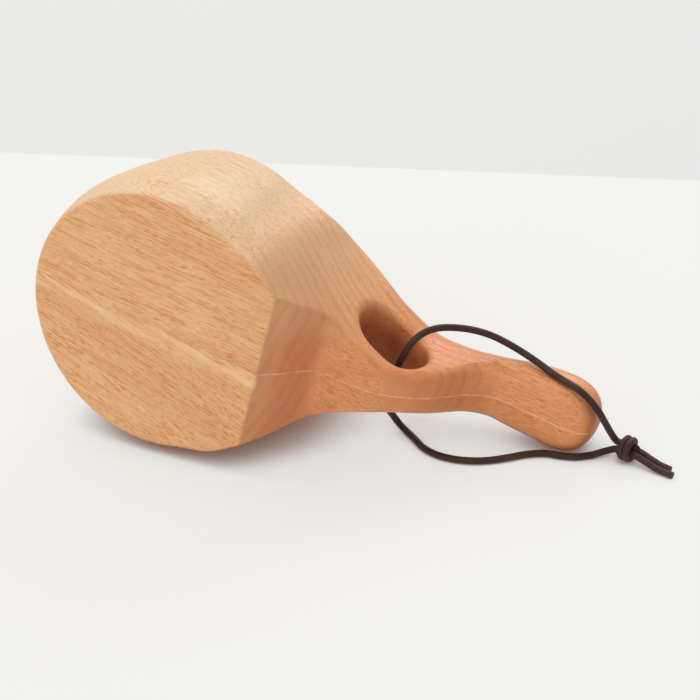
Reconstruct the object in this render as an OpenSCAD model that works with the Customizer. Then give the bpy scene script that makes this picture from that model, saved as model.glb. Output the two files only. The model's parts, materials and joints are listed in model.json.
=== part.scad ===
// Kuksa: a wooden drinking cup glued up from two beech boards, with a cord
// loop through the finger hole. Millimetres.
//
// The cup is shaped upright in its own axes: x runs from the bowl to the tip
// of the handle, y runs sideways and z runs from the flat base to the rim.
// It is then laid down the way it rests on a table: on the side of its bowl
// and on the tip of its handle, with +Z up and the table at z = 0.

/* [Bowl] */
// Radius of the flat base
base_r = 44; // [42:0.5:46]
// Widest radius of the bowl
belly_r = 46; // [45:0.5:48]
// Height of the widest ring above the base
belly_z = 11; // [9:1:14]
// Radius at the rim, outside
rim_r = 40; // [38:0.5:42]
// Height from the base to the rim
cup_h = 53; // [50:0.5:56]
// Thickness of the wall
wall_t = 6; // [5:0.5:8]
// Thickness of the wood under the drink
floor_t = 9; // [7:0.5:12]

/* [Handle] */
// Distance from the cup's axis to the tip of the handle
reach = 135; // [130:1:140]
// Distance from the cup's axis to the straight edge of the base
chord_x = 40; // [39:0.5:41]
// Half width of the handle at its waist
waist_w = 8.5; // [8:0.25:10]
// Half width of the handle at its end
grip_w = 12; // [11:0.25:13]
// Height of the underside of the grip above the base
grip_z = 50; // [48:0.5:52]
// Thickness of the grip from its underside to its top
grip_t = 20; // [18:0.5:22]

/* [Finger hole] */
// Distance from the cup's axis to the middle of the hole
hole_x = 68; // [67:0.5:69]
// Height of the middle of the hole above the base
hole_z = 37.5; // [36.5:0.5:38]
// Height of the hole, across the finger
hole_h = 20; // [18:0.5:20.5]
// Length of the hole, along the handle
hole_l = 25; // [22:0.5:26]

/* [Boards] */
// How far the glue joint lies from the middle of the cup
glue_y = 0.5; // [-2:0.5:2]

/* [Resting on the table] */
// How far the handle slopes down to its tip, in degrees
tip_drop = 13.2; // [13:0.1:13.4]
// How far the rim dips below level, in degrees
rim_dip = 6.7; // [6.5:0.1:6.9]

/* [Cord] */
// Diameter of the cord
cord_d = 2.3; // [2:0.1:2.5]
// Length of the knot
knot_l = 8; // [7:0.5:9]
// Diameter of the knot
knot_d = 8.6; // [8:0.2:9]

/* [Hidden] */

// Where the cup's own origin, the middle of its base, lies above the table
base_at = [-42, -32.1, 47.55];

// Outside radius of the bowl by height, running on past the base and the rim
bowl_side = [
    [-12, base_r - 2], [0, base_r], [belly_z, belly_r], [25, belly_r - 1],
    [38, (belly_r + rim_r) / 2], [cup_h, rim_r], [cup_h + 15, rim_r - 7]
];

// Half width of the handle by distance from the cup's axis
handle_plan = [
    [-6, 9], [11, 20], [27, 30.5], [chord_x, 25], [52, 19], [63, 13],
    [75, waist_w], [86, waist_w], [97, (waist_w + grip_w) / 2],
    [108, grip_w], [150, grip_w + 0.5]
];

// Height of the underside by distance from the cup's axis
underside = [
    [chord_x - 6, -16], [chord_x, 0], [45, 7], [52, 17], [61, 19], [71, 20.5],
    [79, 25], [87, 32.5], [95, grip_z - 6], [104, grip_z], [150, grip_z]
];

// Height of the top by distance from the cup's axis: above the rim over the
// bowl, level with it where the rim ends, then up over the handle
rim_end = 27;
top_side = [
    [-60, cup_h + 9], [10, cup_h + 9], [20, cup_h + 3], [rim_end, cup_h],
    [36, cup_h + 3.5], [45, cup_h + 6], [54, cup_h + 6.5], [63, grip_z + 10],
    [86, grip_z + 12], [102, grip_z + 14], [118, grip_z + grip_t - 1],
    [150, grip_z + grip_t + 1]
];

// How softly the underside and the top turn into the sides, by distance
under_round = [[chord_x - 2, 1.5], [52, 2.5], [75, 4], [95, 9]];
top_round = [[chord_x, 3], [60, 7], [90, 10]];

tip_round = 13;    // softness of the tip of the handle
neck_blend = 16;   // softness of the hollow where the bowl turns into the handle
spare = 8;         // wood past the base, planed off at the end
mid_z = 26;        // height from which the skin of the bowl is measured
bend = 16;         // radius inside the bowl where its wall turns into its floor
room = 200;        // larger than the cup

rays = 48;         // points around each section of the skin
steps = 13;        // halvings that find the skin along a ray
far = 80;          // longest ray

// ---- Shape of the cup: a field that is negative in the wood ----

// Smooth curve through points [x, y]
function slope(p, i) =
    let (a = max(i - 1, 0), b = min(i + 1, len(p) - 1))
    (p[b][1] - p[a][1]) / (p[b][0] - p[a][0]);

function span(p, x, i = 0) =
    i >= len(p) - 2 || x < p[i + 1][0] ? i : span(p, x, i + 1);

function curve(p, x) =
    let (i = span(p, x), h = p[i + 1][0] - p[i][0],
         t = min(max((x - p[i][0]) / h, 0), 1), s = 1 - t)
    p[i][1] * (1 + 2 * t) * s * s + slope(p, i) * h * t * s * s
    + p[i + 1][1] * t * t * (3 - 2 * t) - slope(p, i + 1) * h * t * t * s;

// Smallest and largest of two numbers, blended over a width k
function soft_min(a, b, k) = min(a, b) - pow(max(k - abs(a - b), 0), 2) / (4 * k);
function soft_max(a, b, k) = max(a, b) + pow(max(k - abs(a - b), 0), 2) / (4 * k);

function sides(q) =
    let (bowl = norm([q[0], q[1]]) - curve(bowl_side, q[2]),
         plate = soft_max(abs(q[1]) - curve(handle_plan, q[0]), -q[0], 8))
    soft_max(soft_min(bowl, plate, neck_blend), q[0] - reach, tip_round);

function field(q) =
    let (over = q[2] - curve(top_side, q[0]),
         under = q[0] < chord_x - 6 ? -spare - q[2] : curve(underside, q[0]) - q[2],
         body = soft_max(sides(q), over, lookup(q[0], top_round)))
    max(soft_max(body, under, lookup(q[0], under_round)), -spare - q[2]);

// ---- Skin of the cup: rays from a spine out to the surface ----

function skin(from, dir, near = 0, out = far, n = steps) =
    let (m = (near + out) / 2)
    n == 0 ? from + m * dir :
    field(from + m * dir) < 0 ? skin(from, dir, m, out, n - 1)
                              : skin(from, dir, near, m, n - 1);

// Spine of the skin: [distance along the handle, height, tilt of the section]
function spine_z(x) =
    x < 30 ? mid_z : (curve(underside, x) + curve(top_side, x)) / 2;

end_x = reach - 10;
spine = concat(
    [for (a = [-83 : 7 : -6]) [0, mid_z, a]],
    [for (x = [0 : 6 : 30]) [x, mid_z, 0]],
    [for (x = [34 : 2 : 56]) [x, spine_z(x), 0]],
    [for (x = [59 : 3 : end_x]) [x, spine_z(x), 0]],
    [for (a = [12 : 12 : 84]) [end_x, spine_z(end_x), a]]
);

function ring(s) =
    [for (k = [0 : rays - 1]) let (f = 360 * k / rays)
        skin([s[0], 0, s[1]], [sin(s[2]), cos(s[2]) * cos(f), cos(s[2]) * sin(f)])];

// Faces between neighbouring rings of n points, with a closing fan or cap
function band(r, n) =
    [for (k = [0 : n - 1]) let (a = r * n + k, b = r * n + (k + 1) % n)
        each [[a, b + n, b], [a, a + n, b + n]]];

module blank() {
    rings = [for (s = spine) each ring(s)];
    count = len(spine);
    back = skin([0, 0, mid_z], [-1, 0, 0]);
    front = skin([end_x, 0, spine_z(end_x)], [1, 0, 0]);
    last = (count - 1) * rays;
    b = count * rays;
    polyhedron(
        points = concat(rings, [back, front]),
        faces = concat(
            [for (r = [0 : count - 2]) each band(r, rays)],
            [for (k = [0 : rays - 1]) [b, k, (k + 1) % rays]],
            [for (k = [0 : rays - 1]) [b + 1, last + (k + 1) % rays, last + k]]
        )
    );
}

// The hollow of the bowl, turned
module hollow() {
    heights = [for (i = [0 : 6]) floor_t + bend + (cup_h - floor_t - bend) * i / 6];
    rotate_extrude($fn = 96)
        polygon(concat(
            [[0, floor_t]],
            [for (a = [0 : 15 : 75])
                [curve(bowl_side, floor_t + bend) - wall_t - bend + bend * sin(a),
                 floor_t + bend - bend * cos(a)]],
            [for (z = heights) [curve(bowl_side, z) - wall_t, z]],
            [[rim_r - wall_t, room], [0, room]]
        ));
}

// The finger hole: a slot with round ends, straight through from side to side
module finger_hole() {
    r = hole_h / 2;
    run = hole_l - hole_h;
    translate([hole_x, 0, hole_z]) rotate([90, 0, 0]) {
        for (s = [-1, 1])
            translate([s * run / 2, 0, 0]) cylinder(r = r, h = room, center = true, $fn = 48);
        cube([run, hole_h, room], center = true);
    }
}

module cup() {
    difference() {
        blank();
        translate([-room / 2, -room / 2, -room]) cube(room);
        translate([rim_end - room, -room / 2, cup_h]) cube(room);
        hollow();
        finger_hole();
    }
}

module lie_down() {
    translate(base_at) rotate([-90 - rim_dip, tip_drop, 0]) children();
}

// side = -1 keeps the board above the glue joint as the cup lies, 1 the one below
module board(side) {
    lie_down() intersection() {
        cup();
        translate([-room / 2, side < 0 ? glue_y - room : glue_y, -room / 2])
            cube([2 * room, room, room]);
    }
}

// ---- Cord ----

// Route of the cord from the knot over the handle, down through the finger
// hole and back along the table to the knot
route = [
    [97, 28, 6], [94.5, 28.5, 6], [93, 27.5, 9], [91.5, 26, 13.5], [90, 24.5, 18],
    [87, 23.5, 22.5], [83, 23.5, 25.3], [78, 24.5, 26.3], [73, 25.5, 27.4],
    [68, 26.5, 29], [62.5, 27, 31], [57.5, 26.5, 33.3], [52, 25, 36],
    [47, 22, 38.5], [42.5, 17.5, 40.8], [38.5, 12.5, 42.3], [35.5, 8, 42],
    [33, 4.5, 39.5], [31, 3, 35.5], [29, 2.5, 31], [27, 2.8, 26], [25.2, 3.5, 21],
    [23.5, 4.5, 16.5], [22, 6.5, 12.2], [21.2, 9, 8.5], [21.5, 11.2, 5.2],
    [23.2, 11.6, 2.6], [26.4, 10.2, 1.5], [32, 6.8, 1.3], [37, 3.5, 1.3],
    [42.5, 1.8, 1.3], [48, 1.8, 1.3], [53.5, 3.2, 1.3], [59, 6, 1.3],
    [64, 10.2, 1.3], [69, 15, 1.3], [74, 18, 1.3], [79, 19, 1.3],
    [83.5, 20.5, 1.3], [87.5, 23.5, 1.3], [91, 26.5, 2], [94.5, 28.5, 2.9], [97, 28, 3]
];

// Each tail of the cord, from inside the knot to its cut end
long_tail = [
    [100, 27, 3.6], [103, 26.4, 3.4], [106.5, 25.8, 2.6], [110.5, 25.2, 1.7],
    [116, 24.6, 1.3]
];
short_tail = [
    [100, 29.6, 3.6], [103, 29.2, 3.4], [106.5, 28.6, 2.4], [110.5, 27.9, 1.5],
    [114, 27.4, 1.3]
];

knot_at = [98.5, 28.2, 4.4];  // middle of the knot
knot_turn = -11;              // how the knot points on the table, in degrees
knot_end = 0.55;              // its flat ends as a part of its diameter

function unit(v) = v / norm(v);
function tangent(p, i) = unit(p[min(i + 1, len(p) - 1)] - p[max(i - 1, 0)]);

// Directions across the cord, carried from each point to the next without twist
function across(p, i = 0, u = [0, 1, 0.1]) =
    i == len(p) ? [] :
    let (t = tangent(p, i), w = unit(u - (u * t) * t))
    concat([[w, cross(t, w)]], across(p, i + 1, w));

module tube(p, d, sides = 8) {
    f = across(p);
    n = len(p);
    polyhedron(
        points = [for (i = [0 : n - 1]) for (k = [0 : sides - 1])
            let (a = 360 * k / sides)
            p[i] + d / 2 * (cos(a) * f[i][0] + sin(a) * f[i][1])],
        faces = concat(
            [for (i = [0 : n - 2]) each band(i, sides)],
            [[for (k = [0 : sides - 1]) k]],
            [[for (k = [sides - 1 : -1 : 0]) (n - 1) * sides + k]]
        )
    );
}

// The knot: a barrel with rounded flanks and flat ends
module barrel() {
    translate(knot_at) rotate([0, 90, knot_turn])
        rotate_extrude($fn = 24)
            polygon(concat(
                [[0, -knot_l / 2]],
                [for (a = [-90 : 22.5 : 90])
                    [knot_d / 2 * (knot_end + (1 - knot_end) * cos(a)), knot_l / 2 * sin(a)]],
                [[0, knot_l / 2]]
            ));
}

module left_half() {
    color("burlywood") board(1);
}

module right_half() {
    color("peru") board(-1);
}

module cord_loop() {
    color("saddlebrown") tube(route, cord_d);
}

module cord_knot() {
    color("saddlebrown") barrel();
}

module long_cord_tail() {
    color("saddlebrown") tube(long_tail, cord_d);
}

module short_cord_tail() {
    color("saddlebrown") tube(short_tail, cord_d);
}

left_half();
right_half();
cord_loop();
cord_knot();
long_cord_tail();
short_cord_tail();
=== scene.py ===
"""A beech kuksa lying on a table, with its leather cord loop."""
import json
import math

import bmesh
import bpy
import numpy as np
from mathutils import Matrix, Vector

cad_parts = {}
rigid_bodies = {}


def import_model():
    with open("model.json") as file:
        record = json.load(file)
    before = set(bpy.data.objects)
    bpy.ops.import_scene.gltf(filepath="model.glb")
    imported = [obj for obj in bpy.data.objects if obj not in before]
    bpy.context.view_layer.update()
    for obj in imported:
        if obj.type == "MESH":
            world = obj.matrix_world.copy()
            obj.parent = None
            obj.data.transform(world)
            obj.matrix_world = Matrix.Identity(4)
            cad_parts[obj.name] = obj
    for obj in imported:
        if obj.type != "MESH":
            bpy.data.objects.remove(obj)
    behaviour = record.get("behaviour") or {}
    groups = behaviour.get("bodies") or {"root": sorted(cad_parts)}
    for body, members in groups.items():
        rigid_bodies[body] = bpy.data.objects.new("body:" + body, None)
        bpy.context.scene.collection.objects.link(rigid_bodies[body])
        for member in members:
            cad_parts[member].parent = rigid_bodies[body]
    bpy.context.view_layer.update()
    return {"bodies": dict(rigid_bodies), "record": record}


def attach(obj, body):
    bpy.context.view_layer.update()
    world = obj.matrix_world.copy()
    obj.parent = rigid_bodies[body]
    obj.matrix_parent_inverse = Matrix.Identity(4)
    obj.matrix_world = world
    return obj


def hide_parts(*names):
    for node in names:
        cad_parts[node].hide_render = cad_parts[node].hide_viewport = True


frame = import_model()
BODY = next(iter(frame["bodies"]))
MM = 0.001

scene = bpy.context.scene
scene.view_settings.view_transform = "Standard"

# ---------------------------------------------------------------- camera

LOOK_AT = Vector((-0.010, 0.039, 0.006))
DISTANCE, AZIMUTH, ELEVATION, ROLL = 0.9926, 30.4, 31.8, -2.26

cam = bpy.data.objects.new("camera", bpy.data.cameras.new("camera"))
scene.collection.objects.link(cam)
cam.data.lens, cam.data.sensor_width = 149.8, 36.0
cam.data.clip_start, cam.data.clip_end = 0.05, 20.0
az, el = math.radians(AZIMUTH), math.radians(ELEVATION)
ahead = Vector((-math.sin(az) * math.cos(el), math.cos(az) * math.cos(el), -math.sin(el)))
turn = ahead.to_track_quat("-Z", "Y").to_matrix() @ Matrix.Rotation(math.radians(ROLL), 3, "Z")
cam.matrix_world = Matrix.Translation(LOOK_AT - DISTANCE * ahead) @ turn.to_4x4()
scene.camera = cam

# ---------------------------------------------------------------- materials


class Graph:
    """Short helpers that add shader nodes to one material."""

    def __init__(self, name):
        self.mat = bpy.data.materials.new(name)
        self.mat.use_nodes = True
        self.tree = self.mat.node_tree
        self.bsdf = self.tree.nodes["Principled BSDF"]

    def node(self, kind, settings=None, **inputs):
        n = self.tree.nodes.new(kind)
        for key, value in (settings or {}).items():
            setattr(n, key, value)
        for key, value in inputs.items():
            self.put(n.inputs[key.replace("_", " ")], value)
        return n

    def put(self, socket, value):
        if isinstance(value, bpy.types.NodeSocket):
            self.tree.links.new(value, socket)
        else:
            socket.default_value = value

    def math(self, op, a, b=0.0):
        n = self.tree.nodes.new("ShaderNodeMath")
        n.operation = op
        for socket, value in zip(n.inputs, (a, b)):
            self.put(socket, value)
        return n.outputs[0]

    def times(self, first, *others):
        for value in others:
            first = self.math("MULTIPLY", first, value)
        return first

    def attribute(self, name):
        return self.node("ShaderNodeAttribute", {"attribute_name": name}).outputs["Vector"]

    def parts(self, vector):
        return self.node("ShaderNodeSeparateXYZ", None, Vector=vector).outputs

    def ramp(self, value, low, high, out_low=0.0, out_high=1.0):
        """From out_low at low to out_high at high, level beyond them."""
        n = self.tree.nodes.new("ShaderNodeMapRange")
        n.interpolation_type = "SMOOTHSTEP"
        for i, v in enumerate((value, low, high, out_low, out_high)):
            self.put(n.inputs[i], v)
        return n.outputs[0]

    def stretch(self, vector, scale, turn=(0, 0, 0), shift=(0, 0, 0)):
        """The vector turned, shifted and then scaled along each axis."""
        n = self.tree.nodes.new("ShaderNodeMapping")
        n.vector_type = "POINT"
        self.put(n.inputs["Vector"], vector)
        n.inputs["Rotation"].default_value = [math.radians(a) for a in turn]
        n.inputs["Location"].default_value = shift
        m = self.tree.nodes.new("ShaderNodeVectorMath")
        m.operation = "MULTIPLY"
        self.put(m.inputs[0], n.outputs[0])
        m.inputs[1].default_value = scale
        return m.outputs[0]

    def noise(self, vector, scale=1.0, detail=3.0, rough=0.5):
        n = self.node("ShaderNodeTexNoise", None, Vector=vector, Scale=scale, Detail=detail,
                      Roughness=rough)
        return n.outputs[0]

    def cells(self, vector):
        """How far the nearest of many scattered points is."""
        n = self.node("ShaderNodeTexVoronoi", None, Vector=vector, Scale=1.0, Randomness=1.0)
        return n.outputs["Distance"]

    def shade(self, distance):
        """1 in the open, and less where something stands closer than the distance."""
        return self.node("ShaderNodeAmbientOcclusion", {"samples": 8}, Distance=distance).outputs["AO"]

    def bump(self, height, strength, distance):
        """Raise the surface in the shading only: for pores and nap, not for shapes."""
        n = self.node("ShaderNodeBump", None, Height=height, Strength=strength, Distance=distance)
        self.put(self.bsdf.inputs["Normal"], n.outputs[0])

    def mix(self, factor, a, b, blend="MIX"):
        n = self.tree.nodes.new("ShaderNodeMix")
        n.data_type, n.blend_type = "RGBA", blend
        self.put(n.inputs[0], factor)
        self.put(n.inputs[6], a)
        self.put(n.inputs[7], b)
        return n.outputs[2]


def rgb(r, g, b):
    return (r, g, b, 1.0)


PALE_WOOD, DEEP_WOOD, BAND = (0.800, 0.455, 0.222), (0.720, 0.360, 0.155), rgb(0.640, 0.290, 0.118)
RING, END_GRAIN, HOLE_GRAIN_AND_SHADE = rgb(0.520, 0.190, 0.075), rgb(0.500, 0.165, 0.055), rgb(0.400, 0.118, 0.034)
PAINTED_SHEEN, FLANK_SHADE_TINT = rgb(0.650, 0.525, 0.350), rgb(0.91, 0.70, 0.57)
RED_LINE, PALE_LINE = rgb(0.640, 0.225, 0.062), rgb(0.880, 0.560, 0.300)
PALE_FIBRE, RED_FIBRE = rgb(0.930, 0.640, 0.370), rgb(0.620, 0.235, 0.075)
STRIPE, SEAM, PAINTED_SHADE_TINT = rgb(0.930, 0.620, 0.350), rgb(0.900, 0.680, 0.470), rgb(0.46, 0.27, 0.20)
RING_GAP, RING_WANDER = 3.9, 2.6


def beech(name, turn, fleck_size, fleck, tone, seed, stripe_strength):
    """Oiled beech. The grain runs along the board, turned by some degrees about the
    upright, and its flecks of the given length and gap in mm run with it."""
    g = Graph(name)
    at = g.attribute("wood")
    x, y, z = g.parts(at)
    facing_x, in_hole_depth, facing_z = g.parts(g.attribute("facing"))
    grain = g.stretch(at, (1, 1, 1), (0, 0, turn), (seed, 2 * seed, 3 * seed))

    # broad drifts of colour, and redder bands along the grain
    drift = g.noise(g.stretch(grain, (0.012, 0.05, 0.05)), 1.0, 2.0)
    bands = g.noise(g.stretch(grain, (0.010, 0.30, 0.22)), 1.0, 3.0, 0.55)
    pale, deep = (rgb(*[c * t for c, t in zip(colour, tone)]) for colour in (PALE_WOOD, DEEP_WOOD))
    colour = g.mix(g.ramp(drift, 0.30, 0.72), pale, deep)
    colour = g.mix(g.ramp(bands, 0.45, 0.75, 0.0, 0.38), colour, BAND)

    # growth rings: a thin redder line every few millimetres of the board's
    # height, hardly seen on the base and on the bowl's side
    wander = g.noise(g.stretch(at, (0.012, 0.03, 0.05)), 1.0, 2.0)
    height = g.parts(g.stretch(grain, (1, 1, 1), (17, 3, 0)))[2]
    rings = g.math("ADD", g.math("DIVIDE", height, RING_GAP), g.times(wander, RING_WANDER))
    ring = g.math("FRACT", rings)
    fade = g.noise(g.stretch(at, (0.02, 0.06, 0.30)), 1.0, 2.0)
    ring_line = g.times(g.ramp(ring, 0.35, 0.88), g.ramp(ring, 1.0, 0.88),
                        g.ramp(fade, 0.30, 0.62, 0.25, 1.0), g.ramp(x, 4.0, 30.0, 0.12, 1.0),
                        g.ramp(facing_z, 0.95, 0.60, 0.10, 0.50))
    colour = g.mix(ring_line, colour, RING)

    # end grain drinks more oil and is darker; the inside of the finger hole is darker again with depth, in
    # part for its end grain and in part as painted shade of the deep recess
    colour = g.mix(g.ramp(facing_x, 0.30, 0.90, 0.0, 0.62), colour, END_GRAIN)
    colour = g.mix(g.ramp(in_hole_depth, 0.0, 0.8, 0.0, 0.85), colour, HOLE_GRAIN_AND_SHADE)

    # painted light and sheen: the rounded wall of the bowl that faces up as the cup lies is made paler
    # than the base, as if lit from above
    lit_wall = g.times(g.ramp(y, -6.0, -30.0), g.ramp(facing_z, 0.97, 0.78),
                   g.ramp(x, 56.0, 4.0, 0.0, 0.72))
    colour = g.mix(lit_wall, colour, PAINTED_SHEEN)

    # ray flecks: short reddish dashes of two sizes, along a grain that wavers a
    # little, fainter on the end grain and under the painted sheen of the upward wall
    waver = g.node("ShaderNodeTexNoise", None, Vector=g.stretch(at, (0.05, 0.05, 0.05)), Scale=1.0)
    waver_by = g.node("ShaderNodeVectorMath", {"operation": "MULTIPLY"})
    g.put(waver_by.inputs[0], waver.outputs["Color"])
    waver_by.inputs[1].default_value = (0.8, 0.5, 0.5)
    wavering = g.node("ShaderNodeVectorMath", {"operation": "ADD"})
    g.put(wavering.inputs[0], grain)
    g.put(wavering.inputs[1], waver_by.outputs[0])
    bent = wavering.outputs[0]
    long, gap = fleck_size
    dash = g.cells(g.stretch(bent, (1 / long, 1 / gap, 1 / (2.2 * gap))))
    small = g.cells(g.stretch(bent, (1.7 / long, 1.9 / gap, 1 / gap), (0, 0, 0), (7, 3, 5)))
    where = g.ramp(g.noise(g.stretch(at, (0.05, 0.16, 0.16)), 1.0, 2.0), 0.35, 0.65, 0.45, 1.0)
    mark = g.math("MAXIMUM", g.times(g.ramp(dash, 0.34, 0.18), where),
                  g.times(g.ramp(small, 0.32, 0.12), 0.75))
    mark = g.times(mark, g.ramp(facing_x, 0.15, 0.45, 1.0, 0.25), g.ramp(lit_wall, 0.0, 0.60, 1.0, 0.30))
    colour = g.mix(g.times(mark, 0.95), colour, rgb(*fleck))

    # long thin redder and paler lines along the grain, then pores and fine fibres
    lines = g.noise(g.stretch(bent, (0.085, 2.0, 2.0), (0, 0, 0), (5, 9, 2)), 1.0, 2.0, 0.6)
    along = g.ramp(facing_x, 0.35, 0.80, 1.0, 0.2)
    colour = g.mix(g.times(g.ramp(lines, 0.47, 0.35, 0.0, 0.72), along), colour, RED_LINE)
    along = g.times(along, g.ramp(x, 36.0, 55.0, 1.0, 0.25))
    colour = g.mix(g.times(g.ramp(lines, 0.55, 0.68, 0.0, 0.40), along), colour, PALE_LINE)
    fibre = g.noise(g.stretch(bent, (0.16, 4.0, 4.0)), 1.0, 3.0, 0.65)
    colour = g.mix(g.ramp(fibre, 0.50, 0.75, 0.0, 0.30), colour, PALE_FIBRE)
    colour = g.mix(g.ramp(fibre, 0.50, 0.30, 0.0, 0.45), colour, RED_FIBRE)

    # painted shade: the lower flank of the handle, in shade as the cup lies, is darkened and made richer
    # in colour than the base
    shaded_flank = g.times(g.ramp(x, 38.0, 47.0), g.ramp(y, -22.0, -8.0))
    colour = g.mix(shaded_flank, colour, FLANK_SHADE_TINT, "MULTIPLY")

    # a paler wavy stripe beside the joint, on the base only
    stray = g.math("ADD", g.times(g.noise(g.stretch(at, (0.05, 0.5, 0.0)), 1.0, 3.0), 8.0),
                   g.times(lines, 9.0))
    beside = g.math("SUBTRACT", g.math("ADD", y, stray), GLUE_Y + 9.0)
    stripe = g.times(g.ramp(beside, -0.3, 0.8), g.ramp(beside, 7.0, 4.0),
                     g.ramp(bands, 0.38, 0.55, 0.35, 1.0), g.ramp(z, 1.5, 0.2, 0.0, stripe_strength))
    colour = g.mix(stripe, colour, STRIPE)

    # the glue line: a thin pale seam, broken here and there, hardly seen on the base
    off = g.math("ABSOLUTE", g.math("SUBTRACT", y, GLUE_Y))
    off_base = g.times(g.ramp(z, 0.3, 2.5, 0.12, 1.0), g.ramp(in_hole_depth, 0.5, 0.1, 0.15, 1.0))
    breaks = g.ramp(g.noise(g.stretch(at, (0.25, 0.25, 0.25)), 1.0, 2.0), 0.42, 0.55, 0.25, 0.9)
    colour = g.mix(g.times(g.ramp(off, 0.30, 0.10), off_base, breaks, 0.40), colour, SEAM)

    # painted shade: the wood is darkened where other surfaces stand close, in corners, in the finger hole
    # and next to the table
    colour = g.mix(g.ramp(g.shade(0.022), 0.75, 0.05, 0.0, 0.9), colour, PAINTED_SHADE_TINT, "MULTIPLY")
    g.put(g.bsdf.inputs["Base Color"], colour)
    g.put(g.bsdf.inputs["Roughness"], g.math("ADD", g.times(fibre, 0.16), 0.36))
    g.bsdf.inputs["Specular IOR Level"].default_value = 0.42
    g.bump(g.math("SUBTRACT", g.times(fibre, 0.6), g.times(mark, 0.5)), 0.10, 0.00025)
    return g.mat


def leather():
    """Dark brown round leather cord with a faint nap and fine creases."""
    g = Graph("cord_leather")
    at = g.node("ShaderNodeTexCoord").outputs["Object"]
    nap = g.noise(at, 2600.0, 4.0, 0.7)
    patch = g.noise(at, 160.0, 2.0)
    colour = g.mix(g.ramp(patch, 0.3, 0.7), rgb(0.024, 0.009, 0.006), rgb(0.048, 0.018, 0.012))
    colour = g.mix(g.ramp(nap, 0.45, 0.75, 0.0, 0.55), colour, rgb(0.090, 0.042, 0.030))
    g.put(g.bsdf.inputs["Base Color"], colour)
    g.put(g.bsdf.inputs["Roughness"], g.ramp(nap, 0.3, 0.8, 0.50, 0.75))
    g.bsdf.inputs["Specular IOR Level"].default_value = 0.3
    g.bsdf.inputs["Sheen Weight"].default_value = 0.04
    g.bump(nap, 0.5, 0.0001)
    return g.mat


def paper(name, colour, glow):
    """Matt pale paper lit from within, with a warm shadow where the cup touches it."""
    g = Graph(name)
    g.put(g.bsdf.inputs["Emission Color"],
          g.mix(g.ramp(g.shade(0.022), 0.12, 0.66), rgb(0.22, 0.10, 0.065), rgb(1.0, 0.995, 0.975)))
    g.bsdf.inputs["Emission Strength"].default_value = glow
    at = g.node("ShaderNodeTexCoord").outputs["Object"]
    tint = g.ramp(g.noise(at, 6.0, 2.0), 0.3, 0.7)
    a, b = rgb(*colour), rgb(*[c * 0.985 for c in colour])
    g.put(g.bsdf.inputs["Base Color"], g.mix(tint, a, b))
    g.bsdf.inputs["Roughness"].default_value = 0.9
    g.bsdf.inputs["Specular IOR Level"].default_value = 0.1
    return g.mat


# ---------------------------------------------------------------- cord

CORD_D = 2.3 * MM

# Route of the cord from the knot over the handle, down through the finger
# hole and back along the table to the knot, in millimetres
ROUTE = [
    (97, 28, 6), (94.5, 28.5, 6), (93, 27.5, 9), (91.5, 26, 13.5), (90, 24.5, 18),
    (87, 23.5, 22.5), (83, 23.5, 25.3), (78, 24.5, 26.3), (73, 25.5, 27.4),
    (68, 26.5, 29), (62.5, 27, 31), (57.5, 26.5, 33.3), (52, 25, 36),
    (47, 22, 38.5), (42.5, 17.5, 40.8), (38.5, 12.5, 42.3), (35.5, 8, 42),
    (33, 4.5, 39.5), (31, 3, 35.5), (29, 2.5, 31), (27, 2.8, 26), (25.2, 3.5, 21),
    (23.5, 4.5, 16.5), (22, 6.5, 12.2), (21.2, 9, 8.5), (21.5, 11.2, 5.2),
    (23.2, 11.6, 2.6), (26.4, 10.2, 1.5), (32, 6.8, 1.3), (37, 3.5, 1.3),
    (42.5, 1.8, 1.3), (48, 1.8, 1.3), (53.5, 3.2, 1.3), (59, 6, 1.3),
    (64, 10.2, 1.3), (69, 15, 1.3), (74, 18, 1.3), (79, 19, 1.3),
    (83.5, 20.5, 1.3), (87.5, 23.5, 1.3), (91, 26.5, 2), (94.5, 28.5, 2.9), (97, 28, 3),
]
LONG_TAIL = [(100, 27, 3.6), (103, 26.4, 3.4), (106.5, 25.8, 2.6), (110.5, 25.2, 1.7), (116, 24.6, 1.3)]
SHORT_TAIL = [(100, 29.6, 3.6), (103, 29.2, 3.4), (106.5, 28.6, 2.4), (110.5, 27.9, 1.5), (114, 27.4, 1.3)]
KNOT_AT, KNOT_TURN = Vector((98.5, 28.2, 4.4)), -11.0


def smooth(points, steps=8):
    """Points along a smooth line through the given ones, in metres."""
    p = [Vector(q) for q in points]
    p = [2 * p[0] - p[1]] + p + [2 * p[-1] - p[-2]]
    out = []
    for a, b, c, d in zip(p, p[1:], p[2:], p[3:]):
        for k in range(steps):
            t = k / steps
            out.append(0.5 * (2 * b + (c - a) * t + (2 * a - 5 * b + 4 * c - d) * t * t
                              + (3 * b - 3 * c + d - a) * t ** 3))
    return [q * MM for q in out + [p[-2]]]


def strand(name, points, diameter, material):
    """A round strand of leather along the points."""
    data = bpy.data.curves.new(name, "CURVE")
    data.dimensions = "3D"
    data.bevel_depth = diameter / 2
    data.bevel_resolution = 6
    data.use_fill_caps = True
    s = data.splines.new("POLY")
    s.points.add(len(points) - 1)
    for q, v in zip(s.points, points):
        q.co = (*v, 1.0)
    s.use_smooth = True
    data.materials.append(material)
    o = bpy.data.objects.new(name, data)
    scene.collection.objects.link(o)
    return o


def knot_line():
    """An overhand knot of the two strands: two and a half snug turns round their core."""
    line = []
    for k in range(97):
        u = k / 96
        a = math.radians(200 + 900 * u)
        tuck = min(1.0, 6 * u, 6 * (1 - u))
        r = 1.2 + 1.9 * math.sin(math.pi / 2 * tuck)
        x = -2.6 + 5.2 * u + 0.55 * math.sin(a)
        line.append((x, r * math.cos(a), r * math.sin(a)))
    yaw = Matrix.Rotation(math.radians(KNOT_TURN), 3, "Z")
    return [(KNOT_AT + yaw @ Vector(q)) * MM for q in line]


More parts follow.
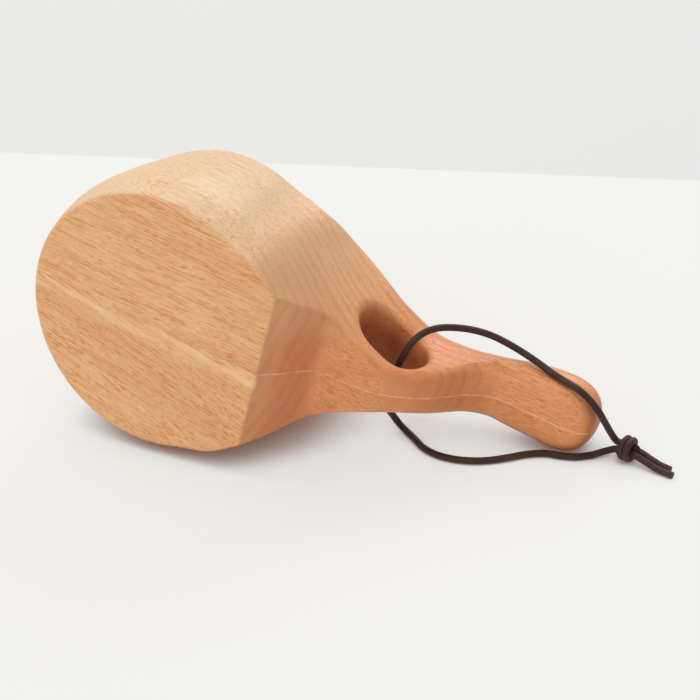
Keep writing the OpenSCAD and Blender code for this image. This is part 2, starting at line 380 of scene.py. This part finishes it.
LEATHER = leather()
loop_line = smooth(ROUTE)
loop = strand("leather_cord", loop_line, CORD_D, LEATHER)
knot = strand("overhand_knot", knot_line(), CORD_D, LEATHER)
tail_a = strand("cord_tail_long", smooth(LONG_TAIL), CORD_D * 0.98, LEATHER)
tail_b = strand("cord_tail_short", smooth(SHORT_TAIL), CORD_D * 0.98, LEATHER)
for piece, node in ((loop, "cord_loop"), (knot, "cord_knot"), (tail_a, "long_cord_tail"),
                    (tail_b, "short_cord_tail")):
    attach(piece, BODY)
    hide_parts(node)

# ---------------------------------------------------------------- cup

# The cup in its own axes, in millimetres: x from the bowl to the tip of the
# handle, y sideways, z from the flat base to the rim.
BASE_R, BELLY_R, BELLY_Z, RIM_R, CUP_H, WALL, FLOOR_T = 44, 46, 11, 40, 53, 6, 9
REACH, CHORD_X, WAIST_W, GRIP_W, GRIP_Z, GRIP_T = 135, 40, 8.5, 12, 50, 20
HOLE_X, HOLE_Z, HOLE_H, HOLE_L, GLUE_Y, RIM_END = 68, 37.5, 20, 25, 0.5, 27
TIP_DROP, RIM_DIP = 13.2, 6.7

# How far from a corner its rounding starts: where the handle grows out of the
# bowl, on the handle's tip, between the hollow's wall and floor, round the flat
# base and rim, at the drinking lip and at the finger hole's mouths
HANDLE_ROOT, TIP_ROUND, HOLLOW_ROUND, EDGE_SOFT, LIP_SOFT, HOLE_SOFT = 16, 13, 24, 1.2, 2.4, 2.4
OPEN = -60.0  # far below any surface: no cut here
DARK_BELOW = 12  # how deep in the finger hole its painted shade is at its darkest

# Outlines through a few points: the bowl's radius by height, the handle's half
# width by x, and the height of its underside and of its top by x
BOWL = [(-12, BASE_R - 2), (0, BASE_R), (BELLY_Z, BELLY_R), (25, BELLY_R - 1),
        (38, (BELLY_R + RIM_R) / 2), (CUP_H, RIM_R), (CUP_H + 15, RIM_R - 7)]
PLAN = [(-6, 9), (11, 20), (27, 30.5), (CHORD_X, 25), (52, 19), (63, 13), (75, WAIST_W),
        (86, WAIST_W), (97, (WAIST_W + GRIP_W) / 2), (108, GRIP_W), (150, GRIP_W + 0.5)]
UNDER = [(CHORD_X - 6, -16), (CHORD_X, 0), (45, 7), (52, 17), (61, 19), (71, 20.5),
         (79, 25), (87, 32.5), (95, GRIP_Z - 6), (104, GRIP_Z), (150, GRIP_Z)]
TOP = [(-60, CUP_H + 9), (10, CUP_H + 9), (20, CUP_H + 3), (RIM_END, CUP_H), (36, CUP_H + 3.5),
       (45, CUP_H + 6), (54, CUP_H + 6.5), (63, GRIP_Z + 10), (86, GRIP_Z + 12),
       (102, GRIP_Z + 14), (118, GRIP_Z + GRIP_T - 1), (150, GRIP_Z + GRIP_T + 1)]


def curve(points, x):
    """Smooth curve through points, the same one as the CAD model's."""
    X, Y = (np.array(v, float) for v in zip(*points))
    lo, hi = np.maximum(np.arange(len(X)) - 1, 0), np.minimum(np.arange(len(X)) + 1, len(X) - 1)
    S = (Y[hi] - Y[lo]) / (X[hi] - X[lo])
    i = np.clip(np.searchsorted(X, x, side="right") - 1, 0, len(X) - 2)
    h = X[i + 1] - X[i]
    t = np.clip((x - X[i]) / h, 0, 1)
    s = 1 - t
    return (Y[i] * (1 + 2 * t) * s * s + S[i] * h * t * s * s
            + Y[i + 1] * t * t * (3 - 2 * t) - S[i + 1] * h * t * t * s)


def soft_min(a, b, k):
    """The smaller of two, rounded over where they are closer than k."""
    return np.minimum(a, b) - np.maximum(k - np.abs(a - b), 0) ** 2 / (4 * k)


def soft_max(a, b, k):
    """The larger of two, rounded over where they are closer than k."""
    return np.maximum(a, b) + np.maximum(k - np.abs(a - b), 0) ** 2 / (4 * k)


def slot(x, z):
    """Negative inside the finger hole."""
    run = (HOLE_L - HOLE_H) / 2
    return np.hypot(x - np.clip(x, HOLE_X - run, HOLE_X + run), z - HOLE_Z) - HOLE_H / 2


def in_hole(x, y, z):
    """How far inside the finger hole a point of the wood lies, from 0 at its mouth to 1."""
    depth = (curve(PLAN, x) - np.abs(y)) / DARK_BELOW
    return np.clip(depth, 0, 1) * np.clip(1.5 - slot(x, z), 0, 1)


def wood(x, y, z):
    """Negative inside the cup's wood."""
    bowl = np.hypot(x, y) - curve(BOWL, z)
    plate = soft_max(np.abs(y) - curve(PLAN, x), -x, 8)
    body = soft_max(soft_min(bowl, plate, HANDLE_ROOT), x - REACH, TIP_ROUND)
    body = soft_max(body, z - curve(TOP, x), np.interp(x, [CHORD_X, 60, 90], [3, 7, 10]))
    under = np.where(x < UNDER[0][0], OPEN, curve(UNDER, x) - z)
    body = soft_max(body, under, np.interp(x, [CHORD_X - 2, 52, 75, 95], [1.1, 2.5, 4, 9]))
    # the flat base and rim, their edges eased by hand
    body = soft_max(body, -z, EDGE_SOFT)
    rim = np.where(x < RIM_END, z - CUP_H, OPEN)
    body = soft_max(body, rim, EDGE_SOFT)
    # the finger hole, its mouths rounded over
    body = soft_max(body, -slot(x, z), HOLE_SOFT)
    # the hollow of the bowl, its rim rounded over
    inner = np.hypot(x, y) - (curve(BOWL, np.minimum(z, CUP_H)) - WALL)
    hollow = soft_max(inner, FLOOR_T - z, HOLLOW_ROUND)
    return soft_max(body, -hollow, LIP_SOFT)


def skin(step):
    """Closed mesh of the wood: one point in every cell that the surface crosses."""
    side = BELLY_R + 2.0
    lo, hi = np.array([-side, -side, -2.0]), np.array([REACH + 3.0, side, GRIP_Z + GRIP_T + 5.0])
    n = np.ceil((hi - lo) / step).astype(int) + 1
    ax = [lo[k] + step * np.arange(n[k]) for k in range(3)]
    grid = wood(*np.meshgrid(*ax, indexing="ij")) < 0
    cell = np.zeros(tuple(n - 1), int)
    for dx in (0, 1):
        for dy in (0, 1):
            for dz in (0, 1):
                cell += grid[dx:dx + n[0] - 1, dy:dy + n[1] - 1, dz:dz + n[2] - 1]
    mixed = (cell > 0) & (cell < 8)
    index = -np.ones(mixed.shape, int)
    index[mixed] = np.arange(mixed.sum())
    p = lo + step * (np.argwhere(mixed) + 0.5)
    quads = []
    for k in range(3):
        u, v = (k + 1) % 3, (k + 2) % 3
        a = np.moveaxis(grid, (k, u, v), (0, 1, 2))
        c = np.moveaxis(index, (k, u, v), (0, 1, 2))
        first, second = a[:-1, 1:-1, 1:-1], a[1:, 1:-1, 1:-1]
        for flag, flip in ((first & ~second, False), (~first & second, True)):
            i, j, m = np.nonzero(flag)
            q = np.stack([c[i, j, m], c[i, j + 1, m], c[i, j + 1, m + 1], c[i, j, m + 1]], 1)
            quads.append(q[:, ::-1] if flip else q)
    quads = np.concatenate(quads)
    rounds, evening_rounds, stride, slope_step = 7, 3, 0.6, 0.02
    for r in range(rounds):
        # even the points out along the surface, then pull them onto it
        if r < evening_rounds:
            near = np.zeros_like(p)
            count = np.zeros(len(p))
            for a, b in ((0, 1), (1, 2), (2, 3), (3, 0)):
                for s, t in ((a, b), (b, a)):
                    np.add.at(near, quads[:, s], p[quads[:, t]])
                    np.add.at(count, quads[:, s], 1)
            p = p + stride * (near / count[:, None] - p)
        grad = np.stack([wood(*(p + slope_step * d).T) - wood(*(p - slope_step * d).T)
                         for d in np.eye(3)], 1) / (2 * slope_step)
        steep = np.sqrt(np.maximum((grad ** 2).sum(1), 0.05))
        move = np.clip(-wood(*p.T) / steep, -stride * step, stride * step) / steep
        p = p + move[:, None] * grad
    return p, quads


def lying():
    """From the cup's own axes in millimetres to where it lies, in metres."""
    base = frame["record"]["mounts"][0]["pos_m"]
    tip = Matrix.Rotation(math.radians(TIP_DROP), 4, "Y")
    side = Matrix.Rotation(math.radians(-90 - RIM_DIP), 4, "X")
    return Matrix.Translation(base) @ tip @ side @ Matrix.Scale(MM, 4)


def board(name, points, quads, side, material):
    """One of the two boards that the cup is glued up from, cut along the glue joint."""
    me = bpy.data.meshes.new(name)
    me.from_pydata(points.tolist(), [], quads.tolist())
    bm = bmesh.new()
    bm.from_mesh(me)
    cut = bmesh.ops.bisect_plane(bm, geom=bm.verts[:] + bm.edges[:] + bm.faces[:], dist=1e-5,
                                 plane_co=(0, GLUE_Y, 0), plane_no=(0, side, 0), clear_outer=True)
    seam = [g for g in cut["geom_cut"] if isinstance(g, bmesh.types.BMEdge)]
    for f in bm.faces:
        f.smooth = True
    fill = bmesh.ops.triangle_fill(bm, use_beauty=True, edges=seam, normal=(0, side, 0))
    for g in fill["geom"]:
        if isinstance(g, bmesh.types.BMFace):
            g.smooth = False
    for e in seam:
        e.smooth = False
    bm.normal_update()
    at = bm.verts.layers.float_vector.new("wood")
    facing = bm.verts.layers.float_vector.new("facing")
    deep = in_hole(*np.array([v.co for v in bm.verts]).T)
    for v, d in zip(bm.verts, deep):
        v[at], v[facing] = v.co, (abs(v.normal.x), d, abs(v.normal.z))
    bmesh.ops.transform(bm, matrix=lying(), verts=bm.verts)
    bm.to_mesh(me)
    bm.free()
    me.materials.append(material)
    o = bpy.data.objects.new(name, me)
    scene.collection.objects.link(o)
    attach(o, BODY)
    return o


FINE, COARSE = 0.7, 1.4
points, quads = skin(FINE)
upper_beech = beech("beech_upper", turn=1, fleck_size=(4.6, 0.42), fleck=(0.540, 0.150, 0.034),
                    tone=(1.0, 1.0, 1.0), seed=11, stripe_strength=0.0)
lower_beech = beech("beech_lower", turn=-10, fleck_size=(4.2, 0.55), fleck=(0.470, 0.110, 0.020),
                    tone=(0.98, 0.96, 0.93), seed=37, stripe_strength=0.55)
upper = board("upper_board", points, quads, 1, upper_beech)
lower = board("lower_board", points, quads, -1, lower_beech)
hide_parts("right_half")
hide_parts("left_half")

# ---------------------------------------------------------------- table and light


def sheet_of(name, corners, material):
    """A flat sheet of the stage, not a piece of the cup."""
    me = bpy.data.meshes.new(name)
    me.from_pydata(corners, [], [(0, 1, 2, 3)])
    me.materials.append(material)
    o = bpy.data.objects.new(name, me)
    scene.collection.objects.link(o)
    return o


# The table, and behind it a slightly greyer sheet that lies at the same height,
# so that nothing stands in the way of a look from behind
EDGE_AT, EDGE_ALONG = Vector((-0.085, 0.162, 0)), Vector((0.932, 0.354, 0)).normalized()
SPAN = 3.0
left, right = EDGE_AT - SPAN * EDGE_ALONG, EDGE_AT + SPAN * EDGE_ALONG
front = Vector((EDGE_ALONG.y, -EDGE_ALONG.x, 0)) * 2 * SPAN
sheet_of("table", [left, left + front, right + front, right],
         paper("table_paper", (0.20, 0.199, 0.193), 0.645))
sheet_of("backdrop", [left, right, right - front, left - front],
         paper("backdrop_paper", (0.20, 0.199, 0.196), 0.565))


def area(name, at, to, size, watts, colour=(1, 1, 1)):
    """A round soft light at one point, aimed at another."""
    data = bpy.data.lights.new(name, "AREA")
    data.shape, data.size, data.energy, data.color = "DISK", size, watts, colour
    o = bpy.data.objects.new(name, data)
    aim = (Vector(to) - Vector(at)).to_track_quat("-Z", "Y")
    o.matrix_world = Matrix.Translation(at) @ aim.to_matrix().to_4x4()
    scene.collection.objects.link(o)


area("key", (-0.75, 0.10, 1.50), (0, 0, 0.03), 1.0, 10.0, (1.0, 0.985, 0.96))
area("front", (-0.6, -1.6, 1.1), (0, 0, 0.03), 1.2, 6.0)
area("back", (-0.15, 1.35, 0.95), (0, 0, 0.06), 0.9, 7.0)
world = bpy.data.worlds.new("studio")
world.use_nodes = True
sky = world.node_tree.nodes["Background"]
sky.inputs["Color"].default_value = rgb(1.0, 0.995, 0.985)
sky.inputs["Strength"].default_value = 0.74
scene.world = world
